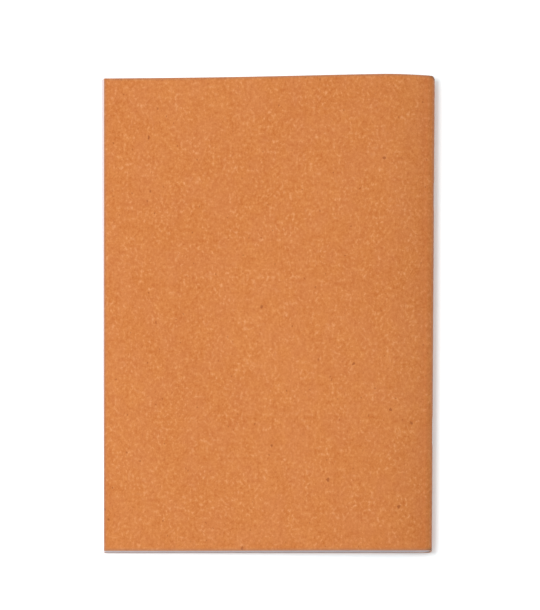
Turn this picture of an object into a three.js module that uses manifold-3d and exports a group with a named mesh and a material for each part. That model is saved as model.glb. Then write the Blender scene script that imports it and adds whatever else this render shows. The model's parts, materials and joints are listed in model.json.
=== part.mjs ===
// A saddle-stitched notebook that lies closed on its front cover.
// X runs from the fore-edge (-X) to the spine (+X), Y along the spine, and Z up from the table.
// The origin is on the table, under the middle of the notebook.
//
// One cover sheet and a stack of folded paper sheets nest around one axis, which lies along Y
// inside the spine. Each sheet is a fold, which the staples hold, and two leaves that turn on it.
// Every leaf turns about that axis, so all folds stay inside the hinge circle and all leaves
// start outside it.
import * as THREE from "three";
import { mergeVertices } from "three/addons/utils/BufferGeometryUtils.js";
import Module from "manifold-3d";

const wasm = await Module();
wasm.setup();

// Driving dimensions, in millimetres
const pageHeight = 210; // along the spine
const coverWidth = 144; // from the cover's fore-edge to the outside of the spine
const coverThickness = 0.8;
const sheetCount = 16; // folded sheets: 32 leaves, 64 pages
const paperThickness = 0.1;
const leafGap = 0.025; // air between leaves at the fore-edge
const foldGap = 0.06; // air between sheets at the fold
const pageShow = 0.6; // how far the innermost leaves stand out past the covers
const swell = 4.4; // how much thicker the notebook is near the spine than at the fore-edge
const swellDistance = 16; // from the hinge axis to the thickest place
const hingeGap = 0.3; // running gap between a fold and its leaves
const wireDiameter = 0.6;
const wireClearance = 0.1; // around the wire in its holes
const clinchClearance = 0.15; // between the clinched wire and the innermost fold
const crownLength = 12; // of a staple, between the middles of its legs
const clinchLength = 4;
const stapleSpacing = 105; // between the middles of the two staples

// Facets and rounding
const foldSteps = 12;
const riseSteps = 4;
const fallSteps = 10;
const wireSides = 6;
const stapleSteps = 56;
const crossingTolerance = 1e-6;
const mergeTolerance = 1e-4;

// The stack, from the middle outwards
const wireRadius = wireDiameter / 2;
const innerFoldRadius = wireRadius + clinchClearance + paperThickness / 2;
const foldPitch = paperThickness + foldGap;
const spineInnerRadius = innerFoldRadius + sheetCount * foldPitch - paperThickness / 2;
const spineRadius = spineInnerRadius + coverThickness;
const hingeRadius = spineRadius + 2 * hingeGap;
const foreHalf = sheetCount * (paperThickness + leafGap);
const peakHalf = foreHalf + swell / 2;

// Staples
const wireBend = coverThickness / 2;
const legY = crownLength / 2;
const holeRadius = (wireRadius + wireClearance) / Math.cos(Math.PI / wireSides);
const stapleMiddles = [-stapleSpacing / 2, stapleSpacing / 2];

// Places
const fullWidth = coverWidth + pageShow;
const axisX = fullWidth / 2 - spineRadius;
const axisZ = coverThickness + peakHalf;
const foreMiddleZ = coverThickness + foreHalf;

// How the swelling dies away from the thickest place (0, 1) to the fore-edge (1, 0)
const fall = new THREE.CubicBezierCurve(
  new THREE.Vector2(0, 1),
  new THREE.Vector2(0.25, 1),
  new THREE.Vector2(0.42, 0.1),
  new THREE.Vector2(1, 0),
);

const coverBoard = new THREE.MeshStandardMaterial({ color: 0xd8884e, roughness: 0.8, metalness: 0 });
const paper = new THREE.MeshStandardMaterial({ color: 0xf3f0ea, roughness: 0.9, metalness: 0 });
const steel = new THREE.MeshStandardMaterial({ color: 0xb9bbbf, roughness: 0.35, metalness: 1 });

const UP = 1; // the back half of the notebook, which lies on top
const DOWN = -1; // the front half

// A layer is a sheet or the cover: its radius at the fold, its share of the block's half
// thickness, what it lies outside that share, its thickness and the X of its fore-edge.
function sheetLayer(number) {
  const share = (number - 0.5) / sheetCount;
  return {
    radius: innerFoldRadius + (number - 1) * foldPitch,
    share,
    outside: 0,
    thickness: paperThickness,
    foreX: -fullWidth / 2 + pageShow * share,
  };
}

const coverLayer = {
  radius: spineInnerRadius + coverThickness / 2,
  share: 1,
  outside: coverThickness / 2,
  thickness: coverThickness,
  foreX: -fullWidth / 2 + pageShow,
};

// One face of a layer: outwards is 0.5 for its outer face and -0.5 for its inner one.
function faceOf(layer, outwards) {
  const offset = outwards * layer.thickness;
  return { ...layer, radius: layer.radius + offset, outside: layer.outside + offset };
}

// Distance of a face from the middle plane, between the fold and the thickest place
function riseDistance(face, fromAxis) {
  const thickest = face.share * peakHalf + face.outside;
  const rise = Math.sin((Math.PI / 2) * (fromAxis / swellDistance));
  return face.radius + (thickest - face.radius) * rise;
}

function risePoint(face, side, fromAxis) {
  return new THREE.Vector2(axisX - fromAxis, axisZ + side * riseDistance(face, fromAxis));
}

// Point of a face between the thickest place and the fore-edge
function fallPoint(face, side, step) {
  const { x: along, y: left } = fall.getPoint(step / fallSteps);
  const startX = axisX - swellDistance;
  const half = foreHalf + (peakHalf - foreHalf) * left;
  const middle = foreMiddleZ + (axisZ - foreMiddleZ) * left;
  return new THREE.Vector2(
    startX + (face.foreX - startX) * along,
    middle + side * (face.share * half + face.outside),
  );
}

// Distance along -X at which a face crosses a circle about the axis, by halving the interval
function crossing(face, circleRadius) {
  let inside = 0;
  let beyond = circleRadius;
  while (beyond - inside > crossingTolerance) {
    const middle = (inside + beyond) / 2;
    if (Math.hypot(middle, riseDistance(face, middle)) < circleRadius) {
      inside = middle;
    } else {
      beyond = middle;
    }
  }
  return beyond;
}

// A face of a leaf or cover panel, from the hinge circle to the fore-edge
function leafLine(face, side) {
  const points = [];
  const start = crossing(face, hingeRadius + hingeGap / 2);
  for (let step = 0; step < riseSteps; step += 1) {
    points.push(risePoint(face, side, start + ((swellDistance - start) * step) / riseSteps));
  }
  for (let step = 0; step <= fallSteps; step += 1) {
    points.push(fallPoint(face, side, step));
  }
  return points;
}

// A face of a fold, from its lower end round the spine to its upper end
function foldLine(face) {
  const end = crossing(face, hingeRadius - hingeGap / 2);
  const points = [risePoint(face, DOWN, end)];
  for (let step = 0; step <= foldSteps; step += 1) {
    const angle = Math.PI * (step / foldSteps - 0.5);
    points.push(
      new THREE.Vector2(
        axisX + face.radius * Math.cos(angle),
        axisZ + face.radius * Math.sin(angle),
      ),
    );
  }
  points.push(risePoint(face, UP, end));
  return points;
}

// The band between two lines in the XZ plane, drawn out along Y
function band(line, otherLine) {
  const outline = new THREE.Shape([...line, ...otherLine.toReversed()]);
  const geometry = new THREE.ExtrudeGeometry(outline, { depth: pageHeight, bevelEnabled: false });
  return geometry.translate(0, 0, -pageHeight / 2).rotateX(Math.PI / 2);
}

function leafGeometry(layer, side) {
  return band(leafLine(faceOf(layer, 0.5), side), leafLine(faceOf(layer, -0.5), side));
}

function foldGeometry(layer) {
  return band(foldLine(faceOf(layer, 0.5)), foldLine(faceOf(layer, -0.5)));
}

// A path along straight runs, with each corner between them rounded off
function roundedPath(corners, bend) {
  const path = new THREE.CurvePath();
  let from = corners[0];
  for (let index = 1; index < corners.length - 1; index += 1) {
    const over = corners[index];
    const towards = (other) => other.clone().sub(over).setLength(bend).add(over);
    const entry = towards(corners[index - 1]);
    const exit = towards(corners[index + 1]);
    path.add(new THREE.LineCurve3(from, entry));
    path.add(new THREE.QuadraticBezierCurve3(entry, over, exit));
    from = exit;
  }
  path.add(new THREE.LineCurve3(from, corners.at(-1)));
  return path;
}

// A staple's wire: the crown lies flush in the spine, the legs run inwards through the folds,
// and the ends are clinched towards each other along the axis.
function stapleGeometry(middleY, radius) {
  const crownX = axisX + spineRadius - wireRadius;
  const corners = [
    [axisX, clinchLength - legY],
    [axisX, -legY],
    [crownX, -legY],
    [crownX, legY],
    [axisX, legY],
    [axisX, legY - clinchLength],
  ].map(([x, y]) => new THREE.Vector3(x, middleY + y, axisZ));
  const section = new THREE.Shape().absarc(0, 0, radius, 0, 2 * Math.PI);
  return new THREE.ExtrudeGeometry(section, {
    steps: stapleSteps,
    curveSegments: wireSides / 2,
    extrudePath: roundedPath(corners, wireBend),
  });
}

// A straight cutter for each leg's holes, from the axis out past the folds
function legCutters() {
  return stapleMiddles.flatMap((middleY) =>
    [-legY, legY].map((y) =>
      new THREE.CylinderGeometry(holeRadius, holeRadius, hingeRadius, wireSides)
        .rotateZ(Math.PI / 2)
        .translate(axisX + hingeRadius / 2, middleY + y, axisZ),
    ),
  );
}

// Boolean cuts
function solidOf(geometry) {
  const bare = geometry.clone().deleteAttribute("normal").deleteAttribute("uv");
  const merged = mergeVertices(bare, mergeTolerance);
  return new wasm.Manifold(
    new wasm.Mesh({
      numProp: 3,
      vertProperties: merged.attributes.position.array,
      triVerts: new Uint32Array(merged.index.array),
    }),
  );
}

function geometryOf(solid) {
  const { vertProperties, triVerts } = solid.getMesh();
  const geometry = new THREE.BufferGeometry();
  geometry.setAttribute("position", new THREE.BufferAttribute(vertProperties, 3));
  geometry.setIndex(new THREE.BufferAttribute(triVerts, 1));
  geometry.computeVertexNormals();
  return geometry;
}

function cut(geometry, cutters) {
  return geometryOf(
    cutters.reduce((solid, cutter) => solid.subtract(solidOf(cutter)), solidOf(geometry)),
  );
}

// Assembly
const notebook = new THREE.Group();
notebook.name = "notebook";

function addPiece(name, geometry, material) {
  const mesh = new THREE.Mesh(geometry, material);
  mesh.name = name;
  notebook.add(mesh);
}

addPiece("front_cover", leafGeometry(coverLayer, DOWN), coverBoard);
addPiece("back_cover", leafGeometry(coverLayer, UP), coverBoard);

const grooves = stapleMiddles.map((middleY) => stapleGeometry(middleY, holeRadius));
addPiece("cover_spine", cut(foldGeometry(coverLayer), grooves), coverBoard);

// Sheet 1 is the innermost, with the middle spread.
const holes = legCutters();
for (let number = 1; number <= sheetCount; number += 1) {
  const layer = sheetLayer(number);
  const sheet = `sheet_${String(number).padStart(2, "0")}`;
  addPiece(`${sheet}_front_leaf`, leafGeometry(layer, DOWN), paper);
  addPiece(`${sheet}_back_leaf`, leafGeometry(layer, UP), paper);
  addPiece(`${sheet}_fold`, cut(foldGeometry(layer), holes), paper);
}

["lower_staple", "upper_staple"].forEach((name, index) => {
  addPiece(name, stapleGeometry(stapleMiddles[index], wireRadius), steel);
});

export default notebook;
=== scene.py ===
import json
import math
import random
from dataclasses import dataclass, replace
from functools import partial

import bmesh
import bpy
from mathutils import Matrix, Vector


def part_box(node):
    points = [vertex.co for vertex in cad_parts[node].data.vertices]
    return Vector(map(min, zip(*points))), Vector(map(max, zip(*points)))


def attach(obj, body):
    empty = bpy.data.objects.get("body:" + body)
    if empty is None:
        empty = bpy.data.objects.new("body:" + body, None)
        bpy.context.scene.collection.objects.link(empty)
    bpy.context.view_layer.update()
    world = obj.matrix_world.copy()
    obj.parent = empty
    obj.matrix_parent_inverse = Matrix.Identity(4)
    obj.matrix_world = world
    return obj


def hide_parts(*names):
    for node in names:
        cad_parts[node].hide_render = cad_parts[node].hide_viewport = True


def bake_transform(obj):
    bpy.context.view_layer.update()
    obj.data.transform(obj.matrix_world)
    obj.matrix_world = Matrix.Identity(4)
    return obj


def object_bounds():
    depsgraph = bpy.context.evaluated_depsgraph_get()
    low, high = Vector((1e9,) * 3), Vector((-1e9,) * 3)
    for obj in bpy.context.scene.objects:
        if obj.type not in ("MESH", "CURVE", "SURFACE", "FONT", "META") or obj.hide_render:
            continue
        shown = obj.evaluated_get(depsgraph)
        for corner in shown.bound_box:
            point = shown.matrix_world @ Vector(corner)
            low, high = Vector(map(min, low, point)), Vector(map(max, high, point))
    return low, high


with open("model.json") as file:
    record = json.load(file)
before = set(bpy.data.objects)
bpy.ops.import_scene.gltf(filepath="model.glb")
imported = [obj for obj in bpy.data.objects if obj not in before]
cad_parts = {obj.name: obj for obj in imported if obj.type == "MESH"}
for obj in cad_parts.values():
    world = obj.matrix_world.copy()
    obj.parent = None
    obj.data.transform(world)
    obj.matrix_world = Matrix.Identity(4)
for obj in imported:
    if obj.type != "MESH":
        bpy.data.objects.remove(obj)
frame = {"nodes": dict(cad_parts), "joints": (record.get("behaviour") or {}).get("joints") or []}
cad_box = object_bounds()
scene = bpy.context.scene

MM = 0.001
BACK, FRONT = 1, -1  # the notebook's halves: it lies on its front, with its back on top
HALVES = {"back": BACK, "front": FRONT}
HEAD, FOOT = 1, -1  # its ends

# Sizes that the solids don't state by themselves
COVER_THICKNESS = 0.8 * MM
PAPER_THICKNESS = 0.1 * MM
LEAF_PITCH = 0.125 * MM  # at the fore-edge
SWELL_DISTANCE = 16 * MM  # from the hinge axis to the thickest place
WIRE_RADIUS = 0.3 * MM
WIRE_BEND = 0.5 * MM
STAPLE_CROWN = 12 * MM
CLINCH_LENGTH = 4 * MM

# Places from the frame
HINGE = next(joint for joint in frame["joints"] if joint["name"] == "back_cover_hinge")
AXIS_X, _, AXIS_Z = HINGE["pos_m"]
SHEET_COUNT = sum(name.endswith("_fold") for name in frame["nodes"])
SPINE_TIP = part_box("cover_spine")[1].x
SPINE_RADIUS = SPINE_TIP - AXIS_X
COVER_FORE_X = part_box("back_cover")[0].x
HALF_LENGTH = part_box("back_cover")[1].y
COVER_WIDTH = SPINE_TIP - COVER_FORE_X
PEAK_HALF = AXIS_Z - COVER_THICKNESS
FORE_HALF = SHEET_COUNT * LEAF_PITCH
FORE_MIDDLE_Z = COVER_THICKNESS + FORE_HALF
STAPLE_MIDDLES = {
    name: sum(corner.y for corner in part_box(name)) / 2 for name in ("lower_staple", "upper_staple")
}

# The swelling between the thickest place (0, 1) and the fore-edge (1, 0)
FALL = [Vector(point) for point in ((0, 1), (0.25, 1), (0.42, 0.1), (1, 0))]

# How the real cover departs from a true rectangle, read off the photographed outline
SPINE_SKEW = 0.92 * MM  # the spine leans out at the head and in at the foot
FORE_SKEW = -0.3 * MM  # and so does the fore-edge
FORE_TRIM = 0.05 * MM  # the cover's fore-edge is cut that much shorter
HEAD_REACH = 0.12 * MM  # the cover reaches that much further at its head
BACK_REACH = 0.24 * MM  # the back of the cover reaches that much further at its foot
FRONT_REACH = 0.38 * MM  # and the pages and the front of the cover this much
FLARE_PLACE = 22 * MM  # from the spine, where the bowed cover stands out furthest
FLARE_POWER = 1.5  # by which that flare dies away towards the fore-edge
FRONT_FLARE = 6 * MM  # from the spine, where the front of the cover has lost that flare
CORNER_DEPTH = 0.75  # of a worn corner, as a share of its reach
FOLD_POWERS = {BACK: 2.3, FRONT: 3.6}  # of the cover's fold: 2 is round, and more is squarer
BED_REACH = 4 * WIRE_RADIUS  # from a staple's crown to where its pressed bed ends


@dataclass(frozen=True)
class TrimmedEnd:
    """How the cover's trimmed edge runs at one end: its flare at the most, the share of the
    flare that is gone at the spine, and how far from the spine's tip its corner is worn."""

    flare: float
    loss: float
    corner: float


TRIMMED_ENDS = {
    HEAD: TrimmedEnd(flare=1.07 * MM, loss=0.55, corner=1.2 * MM),
    FOOT: TrimmedEnd(flare=0.55 * MM, loss=0.6, corner=0.3 * MM),
}

# The pages
PAGE_LEAN = 0.55 * MM  # they stand out further at the head of the fore-edge
PAGE_TRIM = 0.08 * MM  # their ends lie that much inside the cover's
PAGE_SCATTER = 0.1 * MM  # each way, of each sheet's edges
SCATTER_SEED = 7

# The feint rules, in millimetres
RULE_PITCH = 7
RULE_WIDTH = 0.25
RULE_FADE = 0.1  # at the margins
HEAD_MARGIN = 18  # from the head of the page to the first rule
FOOT_MARGIN = 10
SIDE_MARGIN = 1.5

# How finely the shapes are drawn: steps round the fold's quarter, up to the thickest place and
# down to the fore-edge, and rows along the spine
COVER_STEPS = (36, 16, 60)
COVER_ROW = 3 * MM
FINE_ROW = 0.5 * MM
FINE_END = 4 * MM  # the rows are fine that far from each end
FINE_STAPLE = 0.7 * STAPLE_CROWN  # and that far each way from a staple's middle
SHEET_STEPS = (8, 8, 30)
SHEET_ROWS = 12
SHARP_ANGLE = math.radians(50)
WIRE_SIDES = 16
WIRE_BEND_STEPS = 6
WIRE_CROWN = 0.3  # the height of the wire's crowned ends, as a share of its radius

# The setting, in metres
FLOOR_HALF = 0.5
FLOOR_DROP = 0.02 * MM  # under the front cover, whose outside lies at zero
FLOOR_WHITE = (1.35, 1.43, 1.46, 1)  # as it is seen, so that only its shadows are below white
FLOOR_GREY = (0.8, 0.8, 0.8, 1)  # as it lights the notebook
SKY_LIGHT = 0.6


@dataclass(frozen=True)
class SoftBox:
    """A square lamp: the share of light that it adds on the flat, its tilt off vertical towards
    the fore-edge, in degrees, its distance and its size."""

    share: float
    tilt: float
    distance: float
    size: float


SOFT_BOXES = {
    "high": SoftBox(share=0.26, tilt=18, distance=1.3, size=0.4),
    "low": SoftBox(share=0.14, tilt=70, distance=0.9, size=0.35),
}

# The view: a long lens, almost straight down from the side of the notebook's foot
PHOTO_WIDTH, PHOTO_HEIGHT = 540, 610
PIXELS_PER_MM = 2.2868
CENTRE_PIXEL = (267.95, 313.65)  # of the notebook's middle
PITCH = math.radians(11)  # off vertical
CAMERA_DISTANCE = 5
SENSOR = 36  # millimetres


def srgb(red, green, blue):
    """A screen colour, 0 to 255, as a linear one."""

    def linear(value):
        value /= 255
        return value / 12.92 if value <= 0.04045 else ((value + 0.055) / 1.055) ** 2.4

    return (linear(red), linear(green), linear(blue), 1)


DARK_TAN, LIGHT_TAN = srgb(199, 111, 48), srgb(226, 147, 82)
PINK_TAN = srgb(214, 132, 86)
PALE_FLECK = srgb(240, 168, 115)
DEEP_FLECK = srgb(186, 100, 44)
PALE_FIBRE = srgb(242, 172, 120)
DARK_SPECK = srgb(168, 90, 40)
# Painted shade on the board: beside and on the fold, along the trimmed edges and at the spine's
# corners
FOLD_SHADE_TAN = srgb(187, 99, 54)
FOLD_SHADE_GREY = srgb(160, 156, 160)
EDGE_SHADE_BOARD = srgb(146, 120, 104)
CORNER_SHADE_BOARD = srgb(92, 84, 74)
DARK_RAW_EDGE, LIGHT_RAW_EDGE = srgb(200, 156, 134), srgb(226, 184, 162)
DARK_PAPER, LIGHT_PAPER = srgb(238, 235, 230), srgb(247, 244, 240)
# Painted shade at the paper's trimmed edges
PAPER_EDGE_SHADE = srgb(237, 229, 232)
FEINT_BLUE = srgb(176, 190, 204)
DARK_STEEL, LIGHT_STEEL = srgb(178, 180, 184), srgb(206, 208, 211)

# Scales of the textures along x, y and z: the first on the sheet's coordinates, and the others
# in fibres and marks per metre
BOARD_STRETCH = (1, 0.76, 1)
RAW_EDGE_FIBRES = (900, 900, 5000)
WIRE_MARKS = (4000, 600, 4000)

NOISE_SPAN = (0.3, 0.7)  # the values that a noise mostly has
SPOT_CORE = 0.5  # the share of a spot's radius that is at full strength


@dataclass(frozen=True)
class Spots:
    """Scattered spots: the size of the cells, in millimetres, the share of them that has a
    spot, the spot's radius and its strength."""

    spacing: float
    kept: float
    radius: float
    strength: float


FIBRES = Spots(spacing=3.2, kept=0.13, radius=0.6, strength=0.19)
FIBRE_TURNS = (80, 15, -50)  # degrees
SPECKS = (
    Spots(spacing=17, kept=0.14, radius=0.75, strength=0.75),
    Spots(spacing=5.5, kept=0.12, radius=0.38, strength=0.62),
)


# Material nodes
def plug(tree, value, socket):
    """Gives the socket a value: a link from another socket, or a plain value."""
    if isinstance(value, bpy.types.NodeSocket):
        tree.links.new(value, socket)
    else:
        socket.default_value = value


def node(tree, kind, **settings):
    """A shader node, whose inputs take sockets or plain values."""
    made = tree.nodes.new(kind)
    for key, value in settings.items():
        if key in made.inputs:
            plug(tree, value, made.inputs[key])
        else:
            setattr(made, key, value)
    return made


def maths(tree, operation, *values, kind="ShaderNodeMath"):
    """The result of an operation on sockets or plain values."""
    made = node(tree, kind, operation=operation)
    for value, socket in zip(values, made.inputs):
        plug(tree, value, socket)
    return made.outputs[0]


def product(tree, first, second):
    return maths(tree, "MULTIPLY", first, second)


def summed(tree, *weighted):
    """The weighted sum of the values."""
    total = 0
    for value, weight in weighted:
        total = maths(tree, "MULTIPLY_ADD", value, weight, total)
    return total


def remapped(tree, value, span, onto=(0, 1)):
    """The value, stretched from one span onto another and held at its ends."""
    made = node(tree, "ShaderNodeMapRange", Value=value)
    for name, number in zip(("From Min", "From Max", "To Min", "To Max"), (*span, *onto)):
        made.inputs[name].default_value = number
    return made.outputs["Result"]


def faded(tree, value, near, far, strength=1):
    """The strength up to near, dying away to nothing at far."""
    return remapped(tree, value, (near, far), (strength, 0))


def mixed(tree, factor, first, second):
    """A colour mix; each side is a socket or a plain colour."""
    made = node(tree, "ShaderNodeMix", data_type="RGBA")
    for name, value in {"Factor": factor, "A": first, "B": second}.items():
        plug(tree, value, next(s for s in made.inputs if s.name == name and s.enabled))
    return next(s for s in made.outputs if s.enabled)


def separated(tree, vector):
    """The vector's parts, by their names."""
    return node(tree, "ShaderNodeSeparateXYZ", Vector=vector).outputs


def sheet_coordinates(tree):
    """Millimetres along the sheet, from its fold, and along the spine."""
    return node(tree, "ShaderNodeUVMap", uv_map="sheet").outputs["UV"]


def fold_distance(tree):
    """Millimetres along the sheet from the middle of its fold."""
    return maths(tree, "ABSOLUTE", separated(tree, sheet_coordinates(tree))["X"])


def trim_distance(tree):
    """Millimetres from the nearest trimmed edge of the sheet."""
    parts = separated(tree, node(tree, "ShaderNodeUVMap", uv_map="trim").outputs["UV"])
    return maths(tree, "MINIMUM", parts["X"], parts["Y"])


def stretched(tree, vector, scale):
    return node(tree, "ShaderNodeMapping", Vector=vector, Scale=scale).outputs["Vector"]


def turned(tree, vector, degrees, length, width):
    """Coordinates for spots that are long in one direction."""
    mapping = node(
        tree,
        "ShaderNodeMapping",
        vector_type="TEXTURE",
        Vector=vector,
        Rotation=(0, 0, math.radians(degrees)),
        Scale=(length, width, 1),
    )
    return mapping.outputs["Vector"]


def warped(tree, vector, scale, amount):
    """The coordinates, shifted here and there."""
    noise = node(tree, "ShaderNodeTexNoise", Vector=vector, Scale=scale, Detail=1)
    values = (noise.outputs["Color"], (amount, amount, 0), vector)
    return maths(tree, "MULTIPLY_ADD", *values, kind="ShaderNodeVectorMath")


def noise_value(tree, vector, scale, detail=2, roughness=0.5, distortion=0):
    """A noise from 0 to 1, with about that many features per unit of the coordinates."""
    made = node(
        tree,
        "ShaderNodeTexNoise",
        Vector=vector,
        Scale=scale,
        Detail=detail,
        Roughness=roughness,
        Distortion=distortion,
    )
    return made.outputs["Fac"]


def spots(tree, vector, kind):
    """The strength of a kind of spots, and nothing between them.

    A cell's red and green follow its spot's place, so that its blue is what chooses."""
    cells = node(
        tree,
        "ShaderNodeTexVoronoi",
        voronoi_dimensions="2D",
        Vector=vector,
        Scale=1 / kind.spacing,
    ).outputs
    blue = node(tree, "ShaderNodeSeparateColor", Color=cells["Color"]).outputs["Blue"]
    chosen = maths(tree, "LESS_THAN", blue, kind.kept)
    reach = kind.radius / kind.spacing
    inside = faded(tree, cells["Distance"], near=reach * SPOT_CORE, far=reach)
    return product(tree, product(tree, inside, chosen), kind.strength)


# Materials
def new_material(name, **values):
    """A material with its Principled shader set, and its tree."""
    material = bpy.data.materials.new(name)
    material.use_nodes = True
    shader = material.node_tree.nodes["Principled BSDF"]
    for socket, value in values.items():
        shader.inputs[socket.replace("_", " ")].default_value = value
    return material, material.node_tree, shader


def finished(tree, shader, colour, height, depth):
    """Gives the shader its colour, and bumps of that depth."""
    bump = node(tree, "ShaderNodeBump", Strength=1, Distance=depth, Height=height)
    tree.links.new(colour, shader.inputs["Base Color"])
    tree.links.new(bump.outputs["Normal"], shader.inputs["Normal"])


def cover_board():
    """Leather-fibre board: a mottled orange tan with pale and dark fibres and a few dark specks,
    and painted shade beside the fold, on it, at the spine's corners and along the trimmed edges."""
    material, tree, shader = new_material("cover_board", Roughness=0.82, Specular_IOR_Level=0.25)
    sheet = stretched(tree, sheet_coordinates(tree), BOARD_STRETCH)
    colour = board_tone(tree, sheet)
    colour = board_fibres(tree, sheet, colour)
    colour = board_specks(tree, sheet, colour)
    colour = board_painted_shade(tree, colour)
    grain = noise_value(tree, sheet, scale=3, detail=3, roughness=0.6)
    finished(tree, shader, colour, grain, depth=0.03 * MM)
    return material


def board_tone(tree, sheet):
    """A tan that is mottled at every scale, and drifts a little towards pink."""
    tone = summed(
        tree,
        (noise_value(tree, sheet, scale=1.7), 0.45),
        (noise_value(tree, sheet, scale=0.8, detail=4, roughness=0.65), 1.02),
        (noise_value(tree, sheet, scale=0.26, detail=1), 0.36),
        (noise_value(tree, sheet, scale=0.07, detail=1), 0.1),
        (noise_value(tree, sheet, scale=0.02, detail=1), 0.16),
    )
    colour = mixed(tree, remapped(tree, tone, (0.76, 1.34)), DARK_TAN, LIGHT_TAN)
    hue = noise_value(tree, sheet, scale=0.09, detail=3, roughness=0.6)
    return mixed(tree, remapped(tree, hue, (0.42, 0.62), onto=(0, 0.19)), colour, PINK_TAN)


def board_fibres(tree, sheet, colour):
    """Pale flecks and long fibres that gather in loose patches, with deeper flecks all over."""
    patches = noise_value(tree, sheet, scale=0.13, detail=1)
    gathered = remapped(tree, patches, (0.4, 0.62), onto=(0.25, 1))
    pale = noise_value(tree, sheet, scale=0.8, detail=3, roughness=0.55, distortion=0.4)
    pale = remapped(tree, pale, (0.55, 0.75), onto=(0, 0.72))
    colour = mixed(tree, product(tree, pale, gathered), colour, PALE_FLECK)
    deep = noise_value(tree, sheet, scale=1.1, distortion=0.6)
    deep = faded(tree, deep, near=0.25, far=0.4, strength=0.45)
    colour = mixed(tree, deep, colour, DEEP_FLECK)
    for degrees in FIBRE_TURNS:
        bowed = warped(tree, sheet, scale=0.3, amount=2)
        fibres = spots(tree, turned(tree, bowed, degrees, length=2.6, width=0.8), FIBRES)
        colour = mixed(tree, product(tree, fibres, gathered), colour, PALE_FIBRE)
    return colour


def board_specks(tree, sheet, colour):
    """A few large and more small dark specks, with ragged outlines."""
    ragged = warped(tree, sheet, scale=0.8, amount=1.2)
    for kind in SPECKS:
        colour = mixed(tree, spots(tree, ragged, kind), colour, DARK_SPECK)
    return colour


def board_painted_shade(tree, colour):
    """Painted shade: redder and darker beside the fold and greyer on it, where the board turns
    from the light, darker along the trimmed edges and dark at the spine's corners. The distances
    are in millimetres."""
    from_fold, from_trim = fold_distance(tree), trim_distance(tree)
    # Painted shade, redder and darker, 3 to 10 mm from the fold's middle, where the board starts to
    # turn from the light
    near_fold = faded(tree, from_fold, near=6, far=10, strength=0.2)
    painted_fold_shade = product(tree, remapped(tree, from_fold, (3, 5)), near_fold)
    # Painted shade, greyer, within about 3 mm of the fold's middle, where the spine's edge meets its
    # shadow
    painted_fold_grey = faded(tree, from_fold, near=1.6, far=3.2, strength=0.17)
    # Painted shade along the trimmed edges, darker within 1.3 mm of them, where their rims turn from
    # the light
    trim_amount = faded(tree, from_trim, near=0, far=1.3, strength=0.38)
    # Painted shade, dark grey, where the fold meets the trimmed ends, at the spine's corners
    at_spine = faded(tree, from_fold, near=2, far=5, strength=0.5)
    painted_corner_shade = product(tree, at_spine, faded(tree, from_trim, near=0.3, far=1.4))
    colour = mixed(tree, painted_fold_shade, colour, FOLD_SHADE_TAN)
    colour = mixed(tree, painted_fold_grey, colour, FOLD_SHADE_GREY)
    colour = mixed(tree, trim_amount, colour, EDGE_SHADE_BOARD)
    return mixed(tree, painted_corner_shade, colour, CORNER_SHADE_BOARD)


def grained(name, scale, detail, colours, depth, **values):
    """A material with fine fibres or marks, which its two colours and its bumps follow."""
    material, tree, shader = new_material(name, **values)
    place = stretched(tree, node(tree, "ShaderNodeTexCoord").outputs["Object"], scale)
    marks = noise_value(tree, place, scale=1, detail=detail)
    colour = mixed(tree, remapped(tree, marks, NOISE_SPAN), *colours)
    finished(tree, shader, colour, marks, depth)
    return material


def raw_edge():
    """The board's cut edge: duller and greyer than its face, with its fibres showing."""
    return grained(
        "raw_edge",
        scale=RAW_EDGE_FIBRES,
        detail=3,
        colours=(DARK_RAW_EDGE, LIGHT_RAW_EDGE),
        depth=0.05 * MM,
        Roughness=0.9,
        Specular_IOR_Level=0.2,
    )


def paper(name, ruled):
    """Uncoated paper, off-white, with faint fibres, a pinkish painted shade near its trimmed edges
    and, on its faces, feint rules."""
    material, tree, shader = new_material(name, Roughness=0.9, Specular_IOR_Level=0.2)
    sheet = sheet_coordinates(tree)
    fibres = noise_value(tree, sheet, scale=1.5, detail=4, roughness=0.6)
    colour = mixed(tree, remapped(tree, fibres, NOISE_SPAN), DARK_PAPER, LIGHT_PAPER)
    from_trim = trim_distance(tree)
    if ruled:
        colour = mixed(tree, rules(tree, sheet, from_trim), colour, FEINT_BLUE)
    # Painted shade, pinkish, within about a millimetre of the trimmed edges, for the shade between
    # the leaves' stacked edges and the cover's orange light on them
    colour = mixed(tree, faded(tree, from_trim, near=0.4, far=1.2), colour, PAPER_EDGE_SHADE)
    finished(tree, shader, colour, fibres, depth=0.01 * MM)
    return material


def rules(tree, sheet, from_trim):
    """1 on the feint rules, which run across the page between its margins."""
    below_first = HALF_LENGTH / MM - HEAD_MARGIN + RULE_PITCH / 2
    down = maths(tree, "SUBTRACT", below_first, separated(tree, sheet)["Y"])
    wrapped = maths(tree, "PINGPONG", down, RULE_PITCH / 2)
    edge = RULE_PITCH / 2 - RULE_WIDTH
    on_rule = remapped(tree, wrapped, (edge, edge + RULE_WIDTH / 2))
    last = 2 * HALF_LENGTH / MM - HEAD_MARGIN - FOOT_MARGIN
    inside_head = remapped(tree, down, (0, RULE_FADE))
    inside_foot = faded(tree, down, near=last - RULE_FADE, far=last)
    inside_side = remapped(tree, from_trim, (SIDE_MARGIN, SIDE_MARGIN + RULE_FADE))
    inside_ends = product(tree, inside_head, inside_foot)
    return product(tree, product(tree, on_rule, inside_side), inside_ends)


def wire():
    """Bright drawn steel wire with fine marks along it."""
    return grained(
        "staple_wire",
        scale=WIRE_MARKS,
        detail=2,
        colours=(DARK_STEEL, LIGHT_STEEL),
        depth=0.01 * MM,
        Metallic=1,
        Roughness=0.32,
    )


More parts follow.
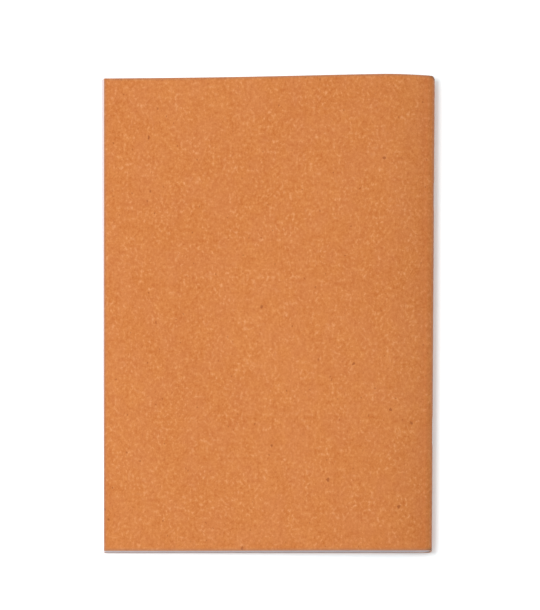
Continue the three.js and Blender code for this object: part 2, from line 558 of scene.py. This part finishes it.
# Layers
@dataclass(frozen=True)
class Layer:
    """A sheet or the cover: its fold's radius, its share of the block's half thickness, what it
    lies outside that share, its thickness, the X of its fore-edge and the power of the curve
    that its fold follows."""

    radius: float
    share: float
    outside: float
    thickness: float
    fore_x: float
    power: float = 2

    def face(self, outwards):
        """One face of the layer: outwards is 0.5 for the outer and -0.5 for the inner one."""
        offset = outwards * self.thickness
        return replace(self, radius=self.radius + offset, outside=self.outside + offset)


COVER_LAYER = Layer(
    radius=SPINE_RADIUS - COVER_THICKNESS / 2,
    share=1,
    outside=COVER_THICKNESS / 2,
    thickness=COVER_THICKNESS,
    fore_x=COVER_FORE_X + FORE_TRIM,
)


def sheet_layer(number):
    outer_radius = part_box(f"sheet_{number:02d}_fold")[1].x - AXIS_X
    return Layer(
        radius=outer_radius - PAPER_THICKNESS / 2,
        share=(number - 0.5) / SHEET_COUNT,
        outside=0,
        thickness=PAPER_THICKNESS,
        fore_x=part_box(f"sheet_{number:02d}_back_leaf")[0].x,
    )


def bezier(points, t):
    a, b, c, d = points
    s = 1 - t
    return s * s * s * a + 3 * s * s * t * b + 3 * s * t * t * c + t * t * t * d


def smoothstep(low, high, value):
    t = min(1, max(0, (value - low) / (high - low)))
    return t * t * (3 - 2 * t)


def profile(face, side, arc_steps, rise_steps, fall_steps):
    """Points (x, z) of one face of half a layer, from the fold's middle to the fore-edge."""
    points = []
    for step in range(arc_steps):
        angle = math.pi / 2 * step / arc_steps
        across, up = math.cos(angle), math.sin(angle)
        radius = face.radius * (across**face.power + up**face.power) ** (-1 / face.power)
        points.append((AXIS_X + radius * across, AXIS_Z + side * radius * up))
    thickest = face.share * PEAK_HALF + face.outside
    for step in range(rise_steps):
        along = step / rise_steps
        height = face.radius + (thickest - face.radius) * math.sin(math.pi / 2 * along)
        points.append((AXIS_X - SWELL_DISTANCE * along, AXIS_Z + side * height))
    start_x = AXIS_X - SWELL_DISTANCE
    for step in range(fall_steps + 1):
        along, left = bezier(FALL, step / fall_steps)
        half = FORE_HALF + (PEAK_HALF - FORE_HALF) * left
        middle = FORE_MIDDLE_Z + (AXIS_Z - FORE_MIDDLE_Z) * left
        height = side * (face.share * half + face.outside)
        points.append((start_x + (face.fore_x - start_x) * along, middle + height))
    return points


# Shapes
def linked(name, data):
    """A new object in the scene."""
    made = bpy.data.objects.new(name, data)
    scene.collection.objects.link(made)
    return made


def face_outwards(mesh):
    shape = bmesh.new()
    shape.from_mesh(mesh)
    bmesh.ops.recalc_face_normals(shape, faces=shape.faces)
    shape.to_mesh(mesh)
    shape.free()


def even_steps(start, end, count):
    return [start + (end - start) * step / count for step in range(count + 1)]


def distances(points):
    """How far along the line each of its points lies."""
    total, arcs = 0, [0]
    for (x0, z0), (x1, z1) in zip(points, points[1:]):
        total += math.hypot(x1 - x0, z1 - z0)
        arcs.append(total)
    return arcs


def skewed(x, y):
    """The x of a point, once the notebook's long sides lean."""
    share = (x - COVER_FORE_X) / COVER_WIDTH
    return x + (FORE_SKEW + (SPINE_SKEW - FORE_SKEW) * share) * y / HALF_LENGTH


def band_points(outer, inner, shares, ends, arcs, side):
    """Vertices of a band between two profiles, with two kinds of coordinates for each: those of
    the sheet, and the distances to its fore-edge and its nearer end.

    The shares run from -1 to 1 along the spine, and ends gives the half length at an x and end."""
    vertices, sheet, trim = [], [], []
    for points in (outer, inner):
        for (x, z), arc in zip(points, arcs):
            for share in shares:
                half = ends(x, HEAD if share > 0 else FOOT)
                vertices.append((skewed(x, share * half), share * half, z))
                sheet.append((side * arc / MM, share * half / MM))
                trim.append(((arcs[-1] - arc) / MM, (1 - abs(share)) * half / MM))
    return vertices, {"sheet": sheet, "trim": trim}


def band_faces(rows, columns):
    """The quads of a band's two surfaces, and those of the edges that close it."""

    def at(layer, row, column):
        return (layer * rows + row) * columns + column

    surface, edges = [], []
    for row in range(rows - 1):
        for column in range(columns - 1):
            quad = [(row, column), (row + 1, column), (row + 1, column + 1), (row, column + 1)]
            surface += [[at(layer, *corner) for corner in quad] for layer in (0, 1)]
        for column in (0, columns - 1):
            strip = [at(0, row, column), at(1, row, column)]
            edges.append(strip + [at(1, row + 1, column), at(0, row + 1, column)])
    for row in (0, rows - 1):
        for column in range(columns - 1):
            strip = [at(0, row, column), at(1, row, column)]
            edges.append(strip + [at(1, row, column + 1), at(0, row, column + 1)])
    return surface, edges


def half_piece(name, layer, side, shares, ends, steps, materials, bend):
    """Half of a folded layer, from the fold's middle to the fore-edge, as one closed band.

    The materials are that of its faces and that of its edges, and bend moves each vertex."""
    outer = profile(layer.face(0.5), side, *steps)
    inner = profile(layer.face(-0.5), side, *steps)
    arcs = distances(profile(layer, side, *steps))
    vertices, coordinates = band_points(outer, inner, shares, ends, arcs, side)
    surface, edges = band_faces(len(outer), len(shares))
    mesh = bpy.data.meshes.new(name)
    mesh.from_pydata([bend(Vector(vertex)) for vertex in vertices], [], surface + edges)
    face_outwards(mesh)
    for uv_name, values in coordinates.items():
        uv = mesh.uv_layers.new(name=uv_name)
        for loop in mesh.loops:
            uv.data[loop.index].uv = values[loop.vertex_index]
    for material in materials:
        mesh.materials.append(material)
    for polygon in mesh.polygons:
        polygon.use_smooth = polygon.index < len(surface)
        polygon.material_index = 0 if polygon.index < len(surface) else 1
    mesh.set_sharp_from_angle(angle=SHARP_ANGLE)
    return linked(name, mesh)


def bend_across(piece):
    """Bakes the piece's placement into its mesh."""
    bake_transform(piece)


# The cover
def cover_end(x, end, side):
    """Half the cover's length at x, at its head or foot.

    Only the back of the cover keeps the flare away from the spine."""
    from_tip = SPINE_TIP - x
    trimmed = TRIMMED_ENDS[end]
    from_fore = max(0, min(1, (COVER_WIDTH - from_tip) / (COVER_WIDTH - FLARE_PLACE)))
    near_spine = max(0, 1 - from_tip / FLARE_PLACE)
    lost = 0 if side == BACK else smoothstep(0, FRONT_FLARE, from_tip)
    reach = HEAD_REACH if end == HEAD else BACK_REACH + (FRONT_REACH - BACK_REACH) * lost
    flare = trimmed.flare * from_fore**FLARE_POWER
    flare *= (1 - trimmed.loss * near_spine**2) * (1 - lost)
    # the depth that the corner near the spine's tip has worn away
    trim_amount = CORNER_DEPTH * trimmed.corner * max(0, 1 - from_tip / trimmed.corner) ** 2
    return HALF_LENGTH + reach + flare - trim_amount


def cover_shares():
    """Shares along the spine, with closer steps at the ends and at the staples."""
    stops = [-HALF_LENGTH, -HALF_LENGTH + FINE_END]
    for middle in STAPLE_MIDDLES.values():
        stops += [middle - FINE_STAPLE, middle + FINE_STAPLE]
    stops += [HALF_LENGTH - FINE_END, HALF_LENGTH]
    rows = [stops[0]]
    for index, (start, end) in enumerate(zip(stops, stops[1:])):
        row = FINE_ROW if index % 2 == 0 else COVER_ROW
        rows += even_steps(start, end, max(2, round((end - start) / row)))[1:]
    return [y / HALF_LENGTH for y in rows]


def pressed(vertex):
    """Presses a bed for each staple's crown into the outside of the spine."""
    for middle in STAPLE_MIDDLES.values():
        past = max(0, abs(vertex.y - middle) - STAPLE_CROWN / 2)
        around = math.hypot(past, vertex.z - AXIS_Z)
        across = vertex.x - skewed(AXIS_X, vertex.y)
        from_axis = math.hypot(across, vertex.z - AXIS_Z)
        if across > 0 and from_axis > SPINE_RADIUS - COVER_THICKNESS / 2:
            vertex.x -= 2 * WIRE_RADIUS * (1 - smoothstep(WIRE_RADIUS, BED_REACH, around))
    return vertex


def add_cover(board, edge):
    shares = cover_shares()
    for name, side in HALVES.items():
        body = f"{name}_cover"
        piece = half_piece(
            f"cover_{name}_half",
            replace(COVER_LAYER, power=FOLD_POWERS[side]),
            side,
            shares,
            partial(cover_end, side=side),
            COVER_STEPS,
            (board, edge),
            pressed,
        )
        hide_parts(body, *(["cover_spine"] if side == BACK else []))
        bend_across(piece)


# The sheets
def page_end(x, end, spare):
    """Half the page's length at its head or foot, the same at every x."""
    return HALF_LENGTH + spare[end]


def leaning(vertex):
    """Leans the pages' fore-edges out at the head."""
    share = (SPINE_TIP - vertex.x) / COVER_WIDTH
    vertex.x -= PAGE_LEAN * share * vertex.y / HALF_LENGTH
    return vertex


def add_sheets(page, page_edge):
    chance = random.Random(SCATTER_SEED)
    scatter = partial(chance.uniform, -PAGE_SCATTER, PAGE_SCATTER)
    shares = even_steps(-1, 1, SHEET_ROWS)
    for number in range(1, SHEET_COUNT + 1):
        layer = sheet_layer(number)
        spare = {HEAD: scatter() - PAGE_TRIM, FOOT: scatter() - PAGE_TRIM + FRONT_REACH}
        for name, side in HALVES.items():
            body = f"sheet_{number:02d}_{name}_leaf"
            fore_x = layer.fore_x + scatter()
            piece = half_piece(
                f"sheet_{number:02d}_{name}_half",
                replace(layer, fore_x=fore_x),
                side,
                shares,
                partial(page_end, spare=spare),
                SHEET_STEPS,
                (page, page_edge),
                leaning,
            )
            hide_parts(body, *([f"sheet_{number:02d}_fold"] if side == BACK else []))
            bend_across(piece)


# The staples
def rounded_path(corners):
    """A wire's path along straight runs, with each corner between them rounded off."""
    points = [corners[0]]
    for before, over, after in zip(corners, corners[1:], corners[2:]):
        entry = over + (before - over).normalized() * WIRE_BEND
        leave = over + (after - over).normalized() * WIRE_BEND
        for step in range(WIRE_BEND_STEPS + 1):
            t = step / WIRE_BEND_STEPS
            points.append((1 - t) ** 2 * entry + 2 * t * (1 - t) * over + t * t * leave)
    points.append(corners[-1])
    return points


def wire_piece(name, points, material):
    """A round wire along points, closed at both ends with a small crown."""
    rings = len(points)
    vertices, faces = [], []
    across = Vector((0, 0, 1))
    for index, point in enumerate(points):
        forward = points[min(rings - 1, index + 1)] - points[max(0, index - 1)]
        side = forward.normalized().cross(across).normalized()
        for corner in range(WIRE_SIDES):
            angle = 2 * math.pi * corner / WIRE_SIDES
            radial = math.cos(angle) * side + math.sin(angle) * across
            vertices.append(point + WIRE_RADIUS * radial)

    def at(ring, corner):
        return ring * WIRE_SIDES + corner % WIRE_SIDES

    for ring in range(rings - 1):
        for corner in range(WIRE_SIDES):
            near = [at(ring, corner), at(ring + 1, corner)]
            faces.append(near + [at(ring + 1, corner + 1), at(ring, corner + 1)])
    for end, before in ((0, 1), (rings - 1, rings - 2)):
        outwards = (points[end] - points[before]).normalized()
        tip = len(vertices)
        vertices.append(points[end] + outwards * WIRE_RADIUS * WIRE_CROWN)
        faces += [[at(end, corner), at(end, corner + 1), tip] for corner in range(WIRE_SIDES)]
    mesh = bpy.data.meshes.new(name)
    mesh.from_pydata(vertices, [], faces)
    mesh.materials.append(material)
    for polygon in mesh.polygons:
        polygon.use_smooth = True
    face_outwards(mesh)
    return linked(name, mesh)


def add_staples(material):
    crown_x = SPINE_TIP - WIRE_RADIUS
    half = STAPLE_CROWN / 2
    clinched = half - CLINCH_LENGTH
    for name, middle in STAPLE_MIDDLES.items():
        corners = [
            Vector((skewed(x, middle + y), middle + y, AXIS_Z))
            for x, y in (
                (AXIS_X, -clinched),
                (AXIS_X, -half),
                (crown_x, -half),
                (crown_x, half),
                (AXIS_X, half),
                (AXIS_X, clinched),
            )
        ]
        piece = wire_piece(f"{name}_wire", rounded_path(corners), material)
        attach(piece, "binding")
        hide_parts(name)


# The setting
def seen_directly(tree):
    """1 for rays from the camera, in gloss and through glass."""
    rays = node(tree, "ShaderNodeLightPath").outputs
    seen = maths(tree, "MAXIMUM", rays["Is Camera Ray"], rays["Is Glossy Ray"])
    return maths(tree, "MAXIMUM", seen, rays["Is Transmission Ray"])


def floor_material():
    material = bpy.data.materials.new("floor")
    material.use_nodes = True
    tree = material.node_tree
    tree.nodes.clear()
    colour = mixed(tree, seen_directly(tree), FLOOR_GREY, FLOOR_WHITE)
    diffuse = node(tree, "ShaderNodeBsdfDiffuse", Color=colour)
    node(tree, "ShaderNodeOutputMaterial", Surface=diffuse.outputs["BSDF"])
    return material


def add_floor():
    corners = [(-1, -1), (1, -1), (1, 1), (-1, 1)]
    mesh = bpy.data.meshes.new("floor")
    vertices = [(x * FLOOR_HALF, y * FLOOR_HALF, -FLOOR_DROP) for x, y in corners]
    mesh.from_pydata(vertices, [], [(0, 1, 2, 3)])
    mesh.materials.append(floor_material())
    floor = linked("floor", mesh)


def add_sky():
    scene.world = bpy.data.worlds.new("world")
    scene.world.use_nodes = True
    tree = scene.world.node_tree
    background = tree.nodes["Background"]
    background.inputs["Color"].default_value = (1, 1, 1, 1)
    strength = remapped(tree, seen_directly(tree), (0, 1), onto=(SKY_LIGHT, 1))
    tree.links.new(strength, background.inputs["Strength"])


def add_lamps():
    for name, box in SOFT_BOXES.items():
        tilt = math.radians(box.tilt)
        light = bpy.data.lights.new(name, "AREA")
        light.size = box.size
        light.energy = box.share * (math.pi * box.distance) ** 2 / math.cos(tilt)
        direction = Vector((-math.sin(tilt), 0, math.cos(tilt)))
        lamp = linked(name, light)
        lamp.location = direction * box.distance
        lamp.rotation_mode = "QUATERNION"
        lamp.rotation_quaternion = direction.to_track_quat("Z", "Y")
        lamp.visible_camera = False


def add_camera():
    view = bpy.data.cameras.new("camera")
    view.sensor_width = SENSOR
    view.lens = PIXELS_PER_MM / MM * CAMERA_DISTANCE * SENSOR / PHOTO_HEIGHT
    right = (CENTRE_PIXEL[0] - PHOTO_WIDTH / 2) / PIXELS_PER_MM * MM
    down = (CENTRE_PIXEL[1] - PHOTO_HEIGHT / 2) / PIXELS_PER_MM * MM
    up = Vector((0, math.cos(PITCH), math.sin(PITCH)))
    back = Vector((0, -math.sin(PITCH), math.cos(PITCH)))
    middle = sum(cad_box, Vector()) / 2
    target = middle - right * Vector((1, 0, 0)) + down * up
    camera = linked("camera", view)
    camera.location = target + back * CAMERA_DISTANCE
    camera.rotation_euler = (PITCH, 0, 0)
    scene.camera = camera


def main():
    scene.view_settings.view_transform = "Standard"
    add_camera()
    add_sky()
    add_lamps()
    add_floor()
    add_cover(cover_board(), raw_edge())
    add_sheets(paper("page", ruled=True), paper("page_edge", ruled=False))
    add_staples(wire())


main()
